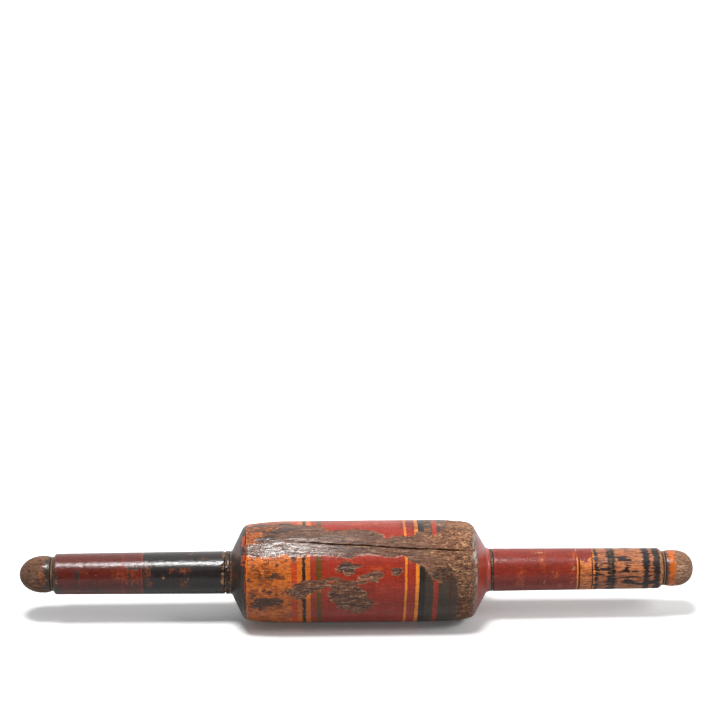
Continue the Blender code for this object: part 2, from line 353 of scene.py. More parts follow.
def barrel_outline():
    """Closed: along the outer side from the left neck to the right one, and back through the bore."""
    half = {}
    for side in (LEFT, RIGHT):
        tilt, bend = SHOULDER_ANGLE[side], SHOULDER_ROUND[side]
        cove_bend, edge = COVE_ROUND[side], EDGE_RADIUS[side]
        chamfer_x, chamfer_depth = NECK_CHAMFER
        neck = [(BARREL_HALF, NECK_RADIUS - chamfer_depth), (BARREL_HALF - chamfer_x, NECK_RADIUS)]
        centre = (BARREL_HALF - COVE_START, NECK_RADIUS + cove_bend)
        cove = arc(centre, cove_bend, -90, -90 - tilt, spacing=0.3)
        cove_x, cove_radius = cove[-1]
        rise = edge - bend * (1 - math.cos(math.radians(tilt))) - cove_radius
        shoulder_x = cove_x - rise / math.tan(math.radians(tilt)) - bend * math.sin(math.radians(tilt))
        shoulder = arc((shoulder_x, edge - bend), bend, 90 - tilt, 90, spacing=0.5)
        crown = []
        for share in np.linspace(0, 1, 9)[1:]:
            fall = (BARREL_RADIUS - edge) * (1 - share) ** 2
            crown.append((shoulder_x + (FLAT_HALF - shoulder_x) * share, BARREL_RADIUS - fall))
        half[side] = neck + cove + shoulder + crown
    left = [(-x, r) for x, r in half[LEFT]]
    outer = spaced(left + half[RIGHT][::-1], BARREL_SPACING)
    return np.concatenate([[(-BARREL_HALF, BORE_RADIUS)], outer, [(BARREL_HALF, BORE_RADIUS)]])


def barrel_angles(outline):
    """Columns that follow the crack, crowded together at it, so that the slit is a clean cut."""
    near = np.array(CRACK_COLUMNS)
    even_columns = (BARREL_COLUMNS - 2 * len(near)) // 2
    rest = np.linspace(EVEN_COLUMNS_START, math.pi * BARREL_RADIUS, even_columns)
    offsets = np.concatenate([-rest[:-1][::-1], -near[:0:-1], near, rest])
    crack_angle = np.interp(outline[:, 0], *zip(*CRACK))
    return crack_angle[:, None] + np.degrees(offsets / BARREL_RADIUS)[None, :]


def crack_depth(x, angle):
    across = np.radians(angle - np.interp(x, *zip(*CRACK))) * BARREL_RADIUS
    first, last = CRACK[0][0], CRACK[-1][0]
    ends = step(x, first - 1, CRACK_OPEN[0]) * step(-x, -last - 1, -CRACK_OPEN[1])
    uneven = 1 + 0.35 * np.sin(x * 0.45) * np.sin(x * 0.17 + 1)
    width = CRACK_HALF_WIDTH * (0.4 + 0.6 * ends) * uneven
    return CRACK_DEPTH * step(ends, 0, 0.25) * np.exp(-((across / width) ** 2))


def barrel_wear(x, radius, angle):
    field = partial(fractal, x, radius, angle)
    front = np.radians(wrapped(angle)) * BARREL_RADIUS
    behind = np.radians(angle % 360) * BARREL_RADIUS

    def chart(place_angle):
        return behind if place_angle > 90 else front

    ragged = field(5.0, 2.2, octaves=5, seed=3.7) + 0.7 * field(1.6, 1.7, octaves=3, seed=6.1)
    bare = inside(x, front, BARE_STRIP, BARREL_RADIUS)
    for corners in BARE_PATCHES:
        bare = np.maximum(bare, inside(x, chart(corners[0][1]), corners, BARREL_RADIUS))
    shreds = 2.6 * field(2.4, 4.0, octaves=4, seed=41.0)
    for corners in BARREL_SCUFFS:
        scuffed = np.minimum(inside(x, chart(corners[0][1]), corners, BARREL_RADIUS), 0.8) - 0.75 + shreds
        bare = np.maximum(bare, scuffed)
    starts = np.interp(wrapped(angle), *zip(*RIM_WEAR_START))
    rim = np.minimum(x - starts, 0.5 * (RIM_WEAR_END - x))
    # flakes gone from the edge of the left neck
    neck = np.where(x < 0, -BARREL_HALF + 0.9 - x, OUTSIDE)
    bare = np.maximum(np.maximum(bare, rim) + 1.1 * ragged, neck + 2.2 * ragged)
    stain = spots(x, angle, BARREL_STAINS, BARREL_RADIUS)

    worn = step(bare, -0.35, 0.35)
    fibres = field(2.2, 5.0, octaves=2, seed=11.0)
    rough_end = step(x, 34, 50) * step(-x, -62, -57)
    lumps = field(2.6, 1.3, octaves=3, seed=21.0)
    relief = 0.26 * fibres + rough_end * 0.45 * lumps
    cut = worn * (0.17 - 0.10 * rough_end + relief) * step(-x, -64, -60)
    cut += 0.05 * field(14.0, octaves=3, seed=31.0) + 0.03 * (1 - worn) * lumps
    crack = crack_depth(x, angle)

    thin = spots(x, angle, BARREL_THIN, BARREL_RADIUS) + 1.2 * ragged
    thin = np.maximum(step(bare, -1.6, -0.2) * 0.3, 0.5 * step(thin, -1.2, 2.0))
    grime = step(spots(x, angle, BARREL_GRIME, BARREL_RADIUS) + ragged, -2.0, 3.5)
    lean = np.interp(wrapped(angle), *zip(*BAND_LEAN)) * step(x, 5, 24)
    chips = np.full(x.shape, OUTSIDE)
    for start, end in RING_CHIPS:
        chips = np.maximum(chips, np.minimum(angle % 360 - start, end - angle % 360))
    lost = (x < RING_EDGE) & (chips + 6.0 * ragged < 0)
    paint = {
        "bare": bare,
        "stain": stain + 1.6 * ragged,
        "slit": crack / CRACK_DEPTH,
        "thin": thin,
        "grime": grime,
        "along": np.where(lost, -BARREL_HALF, x - lean + 0.5 * ragged * step(-x, 60, 62)),
    }
    outer = radius > BORE_RADIUS + 0.5
    return np.where(outer, cut + crack, 0), paint


# ---------------- handles

HANDLE_SPACING = 0.5
HANDLE_COLUMNS = 150
HANDLE_BORE = 5.9
HANDLE_OUTER_RADIUS = 11.45
HANDLE_INNER_RADIUS = 12.0
INNER_EDGE_ROUND = 0.5
OUTER_EDGE_ROUND = {LEFT: 1.7, RIGHT: 2.8}
# Radii at which the ovals' half widths are measured
HANDLE_WEAR_RADIUS = 11.8
HANDLE_STAIN_RADIUS = 11.6

LEFT_HANDLE_BANDS = (
    (-172.1, WINE, 0), (-133.2, LINE_RED, 0), (-132.8, WINE, 0), (-122.4, LINE_RED, 0),
    (-121.9, HANDLE_BLACK, 0),
)
LEFT_HANDLE_STAINS = (
    (-158, 16, 1.2, 4), (-148, -22, 3, 1), (-170, -25, 3, 3.5), (-127, 44, 4, 0.8), (-126, -8, 0.8, 3),
    (-129, 20, 0.7, 3.5), (-131, 120, 3, 4), (-127, 200, 4, 3), (-171, 12, 1.5, 8), (-145, 250, 4, 2),
)
# Bare specks, and soft places where the lac has worn thin and shows orange
LEFT_HANDLE_SPECKS = (
    (-147, 22, 0.3, 0.3), (-169.5, 2, 0.3, 1), (-96, 11, 0.3, 0.3), (-95, 90, 0.6, 0.5),
    (-110, 14, 0.3, 0.4), (-104, 150, 1.4, 0.5), (-140, 170, 1, 0.4), (-112, 220, 1.2, 0.6),
)
LEFT_HANDLE_THIN = (
    (-154, 28, 2.6, 1.4), (-157, 8, 2, 2), (-136, 24, 3, 3.5), (-128, 20, 5, 6), (-119.5, 28, 3, 5.5),
    (-118, -5, 2.5, 2.5), (-110, 14, 1.5, 1.6), (-105, 36, 3, 1.6), (-98, 30, 2.4, 1.8), (-99, -2, 2.5, 3),
    (-95, 90, 1.4, 1), (-88, 70, 2, 1.2), (-158, 150, 7, 3), (-100, 190, 8, 3), (-150, -90, 8, 2.5),
    (-108, -110, 7, 3),
)
RIGHT_HANDLE_BANDS = (
    (74.7, HANDLE_RED, 0), (121.2, YELLOW, 0.3), (121.9, WINE, 0), (123.2, ORANGE_WOOD, 1), (129.6, WINE, 0),
    (130.4, YELLOW, 0.3), (131.7, HANDLE_WOOD, 1), (139.7, OLIVE, 0), (141.4, HANDLE_WOOD, 1),
)
# Red lac that has stayed on top of the first bare band, and a place in the red band that it is coloured as
KEPT_LAC = ((126, 78, 4.6, 6),)
KEPT_LAC_START = 121.9
RED_PLACE = 100.0
# Black lac left on the bare outer half: rings as (x from, x to) and blots as ovals
RIGHT_HANDLE_RINGS = ((131.7, 132.7), (138.7, 140.0), (141.1, 142.7), (159.0, 162.0), (165.1, 168.3))
RIGHT_HANDLE_BLOTS = (
    (149.5, 30, 1.8, 2.4), (151, -12, 3.4, 2.4), (149, 4, 8, 0.5), (157, -22, 8, 0.6), (136, 24, 4.5, 0.9),
    (137.5, 46, 4.5, 1.2), (148, 56, 3, 1.4), (136.5, 12, 3.5, 0.5), (155, 16, 6, 0.4),
    (163.5, 28, 2.2, 0.8), (164, 8, 2.2, 0.4), (150, 110, 3, 3), (155, 160, 6, 1.2), (147, 200, 4, 2.2),
    (153, -70, 5, 1.8), (138, -100, 4, 1.2), (145, -22, 3, 0.6), (147, 14, 2.5, 0.7),
    (134.5, -12, 2.5, 0.5), (163.6, -20, 2, 0.6),
)
RIGHT_HANDLE_SPECKS = (
    (100, 79, 1.2, 0.2), (119.2, 28, 0.3, 0.2), (118.3, 23, 0.2, 0.2), (119.8, 34, 0.2, 0.2),
    (103, -9, 0.25, 0.35), (107.5, 18, 0.2, 0.2), (96, 130, 1.5, 0.6), (110, 180, 1.2, 0.8),
    (84, 210, 0.8, 0.9), (114, 280, 0.8, 0.5),
)
RIGHT_HANDLE_THIN = (
    (90, 6, 1.8, 5.5), (89.5, -16, 2.2, 2.6), (101.5, 84, 4.5, 2), (102, 50, 1.9, 5), (109, 9, 1.4, 2.6),
    (112, -22, 1.6, 2), (119.5, 0, 2, 6), (120, 60, 2, 4), (96, 130, 8, 3), (108, 190, 7, 3),
    (88, 230, 5, 3), (100, -90, 8, 3),
)


def handle_outline(side):
    low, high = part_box(f"{SIDE_NAMES[side]}_handle")
    start, end = (v / MM for v in sorted((abs(low.x), abs(high.x))))
    small, bend = INNER_EDGE_ROUND, OUTER_EDGE_ROUND[side]
    outer = [(start, HANDLE_BORE), (start, HANDLE_INNER_RADIUS - small)]
    outer += arc((start + small, HANDLE_INNER_RADIUS - small), small, 180, 90, spacing=0.2)
    outer += arc((end - bend, HANDLE_OUTER_RADIUS - bend), bend, 90, 0, spacing=0.3)
    outer += [(end, HANDLE_BORE)]
    if side == LEFT:
        outer = [(-x, r) for x, r in outer[::-1]]
    return spaced(outer, HANDLE_SPACING)


def handle_wear(side):
    left = side == LEFT
    specks_table = LEFT_HANDLE_SPECKS if left else RIGHT_HANDLE_SPECKS
    thin_table = LEFT_HANDLE_THIN if left else RIGHT_HANDLE_THIN
    stain_table = LEFT_HANDLE_STAINS if left else RIGHT_HANDLE_BLOTS

    def wear(x, radius, angle):
        field = partial(fractal, x, radius, angle)
        along = x
        from_barrel, from_knob = np.abs(x) - np.abs(x).min(), np.abs(x).max() - np.abs(x)
        ragged = field(2.6, 1.6, octaves=5, seed=5.0 + side)
        streaks = field(1.3, 9.0, octaves=4, seed=15.0 + side)
        specks = spots(x, angle, specks_table, HANDLE_WEAR_RADIUS)
        stain = spots(x, angle, stain_table, HANDLE_STAIN_RADIUS) + 0.5 * ragged
        thin = spots(x, angle, thin_table, HANDLE_WEAR_RADIUS) + 1.6 * ragged + 0.8 * streaks
        thin = (0.6 if left else 0.9) * step(thin, -1.2, 2.2)
        if left:
            stain = stain + 0.8 * streaks
            chipped = 0.6 - from_barrel + 1.9 * ragged
            edge_worn = 0.1 - from_knob + 0.9 * ragged
        else:
            stain = stain + 2.8 * streaks * step(x, 133.0, 136)
            for start, end in RIGHT_HANDLE_RINGS:
                ring = np.minimum(x - start, end - x) + 0.35
                ring = ring + 1.5 * np.maximum(streaks, -0.1) + 0.2 * ragged
                stain = np.maximum(stain, ring)
            kept = spots(x, angle, KEPT_LAC, HANDLE_WEAR_RADIUS) + 2.4 * ragged
            along = np.where((kept > 0) & (x > KEPT_LAC_START), RED_PLACE, x)
            chipped = -0.2 - from_barrel + 0.5 * ragged
            edge_worn = 1.9 - from_knob + 1.0 * ragged + 0.8 * streaks
        bare = np.maximum(np.maximum(specks + 0.5 * ragged + 0.3 * streaks, chipped), edge_worn)
        worn = step(bare, -0.25, 0.25)
        cut = worn * (0.12 + 0.06 * streaks) + 0.22 * step(chipped, -0.2, 0.4)
        cut += 0.035 * field(9.0, octaves=3, seed=25.0)
        cut += 0.012 * field(1.5, octaves=2, seed=35.0)
        if not left:
            bare_wood = step(x, 132.4, 133.2)
            cut += bare_wood * (0.10 - 0.10 * step(stain, -0.2, 0.2) + 0.05 * streaks)
        outer = radius > HANDLE_BORE + 0.5
        return np.where(outer, cut, 0), {"bare": bare, "stain": stain, "thin": thin, "along": along}

    return wear


# ---------------- knobs and washers

KNOB_SPACING = 0.4
KNOB_COLUMNS = 130
KNOB_RADIUS = {LEFT: 10.5, RIGHT: 10.3}
KNOB_BASE_RADIUS = 9.7
KNOB_SWELL = 5.0
KNOB_HOLE = (4.3, 10.8)  # radius and depth
DOME_POWER = {LEFT: 2.0, RIGHT: 2.3}
KNOB_SPOT_RADIUS = 10.4
LEFT_KNOB_ORANGE = ((-178.4, 22, 1, 2), (-178.9, 150, 1.5, 3))
LEFT_KNOB_STAIN = ((-179, -22, 3, 3),)
WASHER_SPACING = 0.35
WASHER_RIM = 1.5  # the cut reaches this far in from the rim
# Chips and roughness
NECK_WASHER_WEAR = {LEFT: (3.0, 0.14), RIGHT: (0.7, 0.03)}
END_WASHER_WEAR = (0.0, 0.06)
# One band each, which starts anywhere and covers the whole piece
KNOB_BANDS = {LEFT: ((0, KNOB_RUST, 0.5),), RIGHT: ((0, KNOB_ORANGE, 0.1),)}
WASHER_BANDS = ((0, BLACK, 0),)


def knob_outline(side):
    low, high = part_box(f"{SIDE_NAMES[side]}_end_knob")
    base, tip = (v / MM for v in sorted((abs(low.x), abs(high.x))))
    hole_radius, hole_depth = KNOB_HOLE
    outline = [(base + hole_depth, 0), (base + hole_depth, hole_radius), (base, hole_radius)]
    outline += [(base, KNOB_BASE_RADIUS - 0.4), (base + 0.15, KNOB_BASE_RADIUS - 0.1)]
    for share in np.linspace(0.06, 1, 8):
        swell = (KNOB_RADIUS[side] - KNOB_BASE_RADIUS) * math.sin(math.pi / 2 * share)
        outline.append((base + KNOB_SWELL * share, KNOB_BASE_RADIUS + swell))
    for t in np.linspace(0, math.pi / 2, 26)[1:]:
        power = 2 / DOME_POWER[side]
        reach = (tip - base - KNOB_SWELL) * math.sin(t) ** power
        outline.append((base + KNOB_SWELL + reach, KNOB_RADIUS[side] * max(math.cos(t), 0) ** power))
    outline[-1] = (tip, 0)
    if side == LEFT:
        outline = [(-x, r) for x, r in outline[::-1]]
    return spaced(outline, KNOB_SPACING)


def knob_wear(side):
    def wear(x, radius, angle):
        field = partial(fractal, x, radius, angle)
        from_base = np.abs(x) - np.abs(x).min()
        ragged = field(2.4, octaves=5, seed=45.0 + side)
        lumps = field(5.5, octaves=3, seed=55.0 + side)
        fine = field(1.1, 1.3, octaves=3, seed=65.0 + side)
        if side == LEFT:
            bare = from_base - 3.0 + 2.8 * ragged
            orange_spot = spots(x, angle, LEFT_KNOB_ORANGE, KNOB_SPOT_RADIUS)
            bare = np.where(orange_spot > -0.4, -orange_spot - 0.1 + 0.8 * ragged, bare)
            stain = 2.6 - np.abs(from_base - 1.6) + 1.0 * ragged
            stain = np.maximum(stain, spots(x, angle, LEFT_KNOB_STAIN, KNOB_SPOT_RADIUS) + ragged)
        else:
            bare = from_base - 5.1 + 1.4 * ragged
            stain = 1.4 - from_base + 0.15 * ragged
        worn = step(bare, -0.3, 0.3)
        cut = worn * (0.16 + 0.07 * fine + 0.05 * ragged) + 0.10 * lumps + 0.02 * fine
        # the hole and the tip stay as they are
        hole_radius, hole_depth = KNOB_HOLE
        outer = radius > hole_radius + 0.3
        on_dome = (from_base < hole_depth - 0.5) | (from_base > hole_depth + 0.2) | outer
        cut = np.where(on_dome & (from_base > 0.05), cut * step(radius, 0.2, 1.6), 0)
        return cut, {"bare": bare, "stain": stain, "thin": step(ragged, -0.2, 0.6), "along": x}

    return wear


def washer_outline(name):
    low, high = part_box(name)
    radius = (high.z - low.z) / 2 / MM
    start, end = low.x / MM, high.x / MM
    bend = min(0.3, (end - start) / 3)
    outline = [(start, HANDLE_BORE), (start, radius - bend)]
    outline += arc((start + bend, radius - bend), bend, 180, 90, spacing=0.1)
    outline += arc((end - bend, radius - bend), bend, 90, 0, spacing=0.1)
    outline += [(end, HANDLE_BORE)]
    return spaced(outline, WASHER_SPACING)


def washer_wear(chips, roughness):
    def wear(x, radius, angle):
        middle, half = (x.max() + x.min()) / 2, (x.max() - x.min()) / 2
        ragged = fractal(x, radius, angle, 2.0, 0.8, octaves=5, seed=75.0)
        bare = np.where(half > 0.5, -0.1, -0.4) - (half - np.abs(x - middle)) + chips * ragged
        rough = roughness * fractal(x, radius, angle, 1.2, octaves=4, seed=85.0)
        cut = 0.2 * chips * step(bare, -0.2, 0.3) + rough
        at_rim = radius > radius.max() - WASHER_RIM
        none = np.full(x.shape, OUTSIDE)
        return np.where(at_rim, cut, 0), {"bare": bare, "stain": none, "thin": 0 * x, "along": x}

    return wear


# ---------------- materials

NOISE_CONTRAST = 2.5  # Blender's noise keeps close to 0.5, and this spreads it out
LAC_THICKNESS = 0.2
LAST_BAND = 30  # how far the last band reaches
BAND_JITTER = 0.16  # how uneven the bands' edges are
SCALLOPED_LINE = -31.7  # the black line in the orange band has scalloped edges
SCALLOPS = 0.75


class Shader:
    """One Principled material. Any input may be a number, a colour or another node's output."""

    def __init__(self, name):
        self.material = bpy.data.materials.new(name)
        self.material.use_nodes = True
        self.tree = self.material.node_tree
        self.tree.nodes.clear()
        self.surface = self.node("BsdfPrincipled")
        output = self.node("OutputMaterial")
        self.tree.links.new(self.surface.outputs[0], output.inputs[0])
        coordinates = self.node("TexCoord").outputs["Object"]
        self.place = self.vector("SCALE", coordinates, scale=1 / MM)
        split = self.node("SeparateXYZ")
        self.tree.links.new(self.place, split.inputs[0])
        self.x, self.height = split.outputs["X"], split.outputs["Z"]

    def node(self, kind):
        return self.tree.nodes.new("ShaderNode" + kind)

    def put(self, socket, value):
        if isinstance(value, bpy.types.NodeSocket):
            self.tree.links.new(value, socket)
        elif isinstance(value, tuple) and socket.type == "RGBA":
            socket.default_value = (*value, 1)
        else:
            socket.default_value = value

    def fill(self, node, values):
        """Sets several inputs, by name or number."""
        for key, value in values.items():
            self.put(node.inputs[key], value)

    def math(self, operation, *values, clamp=False):
        node = self.node("Math")
        node.operation = operation
        node.use_clamp = clamp
        for socket, value in zip(node.inputs, values):
            self.put(socket, value)
        return node.outputs[0]

    def add(self, *values):
        total = values[0]
        for value in values[1:]:
            total = self.math("ADD", total, value)
        return total

    def times(self, value, factor):
        return self.math("MULTIPLY", value, factor)

    def vector(self, operation, value, other=None, scale=None):
        node = self.node("VectorMath")
        node.operation = operation
        self.put(node.inputs[0], value)
        if other is not None:
            self.put(node.inputs[1], other)
        if scale is not None:
            self.put(node.inputs["Scale"], scale)
        return node.outputs["Value" if operation == "LENGTH" else "Vector"]

    def noise(self, size, stretch=(1, 1, 1), detail=4.0, rough=0.6, warp=0.0, shift=0.0):
        """Noise that fills 0 to 1. Its features are that many millimetres across, drawn out by stretch."""
        factors = tuple(1 / (size * s) for s in stretch)
        where = self.vector("MULTIPLY", self.place, factors)
        if shift:
            where = self.vector("ADD", where, (shift, shift, shift))
        node = self.node("TexNoise")
        values = {"Vector": where, "Scale": 1.0, "Detail": detail, "Roughness": rough, "Distortion": warp}
        self.fill(node, values)
        middle = 0.5 - 0.5 * NOISE_CONTRAST
        return self.math("MULTIPLY_ADD", node.outputs["Fac"], NOISE_CONTRAST, middle, clamp=True)

    def swing(self, value, amount):
        """Turns 0 to 1 into -amount to amount."""
        return self.math("MULTIPLY_ADD", value, 2.0 * amount, -amount)

    def range(self, value, low, high, to_low=0.0, to_high=1.0):
        """Goes smoothly from to_low, where the value is low, to to_high, where it is high."""
        node = self.node("MapRange")
        node.interpolation_type = "SMOOTHSTEP"
        ends = {"From Min": low, "From Max": high, "To Min": to_low, "To Max": to_high}
        self.fill(node, {"Value": value, **ends})
        return node.outputs[0]

    def mix(self, share, first, second):
        """A colour between two colours."""
        node = self.node("Mix")
        node.data_type = "RGBA"
        self.fill(node, {0: share, 6: first, 7: second})
        return node.outputs[2]

    def blend(self, share, first, second):
        """A number between two numbers."""
        node = self.node("Mix")
        self.fill(node, {0: share, 2: first, 3: second})
        return node.outputs[0]

    def ramp(self, value, stops, interpolation="LINEAR"):
        """stops are (position, colour, alpha)."""
        node = self.node("ValToRGB")
        node.color_ramp.interpolation = interpolation
        elements = node.color_ramp.elements
        while len(elements) > len(stops):
            elements.remove(elements[-1])
        while len(elements) < len(stops):
            elements.new(1.0)
        for element, (position, color, alpha) in zip(elements, stops):
            element.position = position
            element.color = (*color, alpha)
        self.put(node.inputs[0], value)
        return node.outputs["Color"], node.outputs["Alpha"]

    def shades(self, value, *stops):
        """A ramp through (position, colour)."""
        return self.ramp(value, [(*stop, 1) for stop in stops])[0]

    def painted(self, name):
        """What the mesh stores for each point under that name."""
        node = self.node("Attribute")
        node.attribute_name = name
        return node.outputs["Fac"]

    def bump(self, height):
        """height is in millimetres."""
        node = self.node("Bump")
        self.fill(node, {"Strength": 1.0, "Distance": MM, "Height": height})
        self.tree.links.new(node.outputs[0], self.surface.inputs["Normal"])
        self.tree.links.new(node.outputs[0], self.surface.inputs["Coat Normal"])

    def finish(self, color, roughness, coat=0.0, coat_roughness=0.3):
        self.fill(self.surface, {"Base Color": color, "Roughness": roughness, "Metallic": 0.0})
        self.fill(self.surface, {"Coat Weight": coat, "Coat Roughness": coat_roughness})
        return self.material


def wood_grain(s, dark, mid, light, curl=0.0):
    """Weathered bare wood: (colour, height in mm). The fibres run along x."""
    long_fibres = s.noise(1.1, (8, 1, 1), warp=0.4 + curl)
    short_fibres = s.noise(0.85, (2.4, 1, 1), rough=0.7, warp=0.8 + 2 * curl, shift=7.0)
    tone = s.add(s.times(long_fibres, 0.42), s.times(short_fibres, 0.58))
    color = s.shades(tone, (0.27, dark), (0.47, mid), (0.58, mid), (0.76, light))
    pits = s.range(s.noise(0.9, (3, 1, 1), shift=10.0), 0.72, 0.86)
    color = s.mix(s.times(pits, 0.85), color, dark)
    patches = s.noise(7.0, (2, 1, 1), shift=13.0)
    color = s.vector("SCALE", color, scale=s.blend(patches, 0.84, 1.2))
    height = s.add(s.swing(long_fibres, 0.20), s.swing(short_fibres, 0.10), s.times(pits, -0.12))
    return color, height


def furry_wood(s):
    """Rough end wood, broken up into short pale tufts: (colour, height in mm)."""
    tufts = s.noise(1.05, (1.7, 1, 1), rough=0.66, warp=1.5, shift=41.0)
    strands = s.noise(0.9, (5, 1, 1), warp=1.4, shift=43.0)
    tone = s.add(s.times(tufts, 0.5), s.times(strands, 0.5))
    color = s.shades(tone, (0.26, BARE_DARK), (0.44, BARE_MID), (0.58, TUFT_BROWN), (0.76, FURRY_LIGHT))
    patches = s.noise(6.0, shift=47.0)
    top_highlight = s.range(s.height, 44, 55, 1.05, 1.4)  # painted highlight: the furry wood is drawn lighter towards the top
    color = s.vector("SCALE", color, scale=s.times(top_highlight, s.blend(patches, 0.74, 1.28)))
    return color, s.add(s.swing(tufts, 0.34), s.swing(strands, 0.20))


def banded_lac(s, bands, barrel):
    """The lac's colour, and how far the grain shows through it, from the bands along x."""
    low, high = bands[0][0] - 1, bands[-1][0] + LAST_BAND
    jitter = BAND_JITTER
    if barrel:
        off_line = s.math("ABSOLUTE", s.math("SUBTRACT", s.x, SCALLOPED_LINE))
        jitter = s.range(off_line, 1.4, 1.0, BAND_JITTER, SCALLOPS)
    wobble = s.swing(s.noise(1.2, shift=3.0), 1.0)
    drift = s.add(s.painted("along"), s.swing(s.noise(9.0), 0.14), s.times(wobble, jitter))
    along = s.math("DIVIDE", s.math("SUBTRACT", drift, low), high - low)
    stops = [((start - low) / (high - low), color, clear) for start, color, clear in bands]
    return s.ramp(along, stops, "CONSTANT")


def paint_rim_sheen(s, lac):
    """Painted highlight: the worn rim of the right shoulder is drawn grey in patches, most where the lamp's
    reflection falls.
    """
    rim = s.times(s.range(s.x, 61.6, 62.6), s.range(s.x, 65.0, 64.2))
    sheen_patches = s.noise(1.2, (1, 4, 4), detail=5.0, rough=0.7, warp=0.5, shift=35.0)
    sheen_by_height = s.times(s.range(s.height, 20, 44, 0.25, 0.95), s.range(s.height, 54, 47, 0.3, 1.0))
    sheen_patches = s.times(s.range(sheen_patches, 0.34, 0.74), sheen_by_height)
    return s.mix(s.times(rim, sheen_patches), lac, RIM_SHEEN_GREY)


def barrel_wood(s, color, height, clouds, marked, polish):
    """The barrel's bare wood: (colour, height in mm). It is greyer on top and furry at the right end."""
    furry_color, furry_height = furry_wood(s)
    furry = s.range(s.add(s.x, s.swing(clouds, 6)), 28, 50)
    remnants = s.noise(2.0, (2.5, 1, 1), detail=5.0, rough=0.66, warp=0.5, shift=51.0)
    color = s.mix(s.times(s.range(remnants, 0.70, 0.86), 0.65), color, REMNANT)
    color = s.mix(s.range(s.height, 36, 46, 0.0, 0.4), color, WEATHERED)
    color = s.mix(furry, color, furry_color)
    ridges = s.noise(0.9, (7, 1, 1), detail=3.0, rough=0.55, warp=0.4, shift=53.0)
    height = s.blend(polish, s.blend(furry, height, furry_height), s.swing(ridges, 0.055))
    color = s.vector("SCALE", color, scale=s.blend(polish, 1.0, 0.72))
    return s.vector("SCALE", color, scale=s.blend(marked, 1.0, 0.45)), height


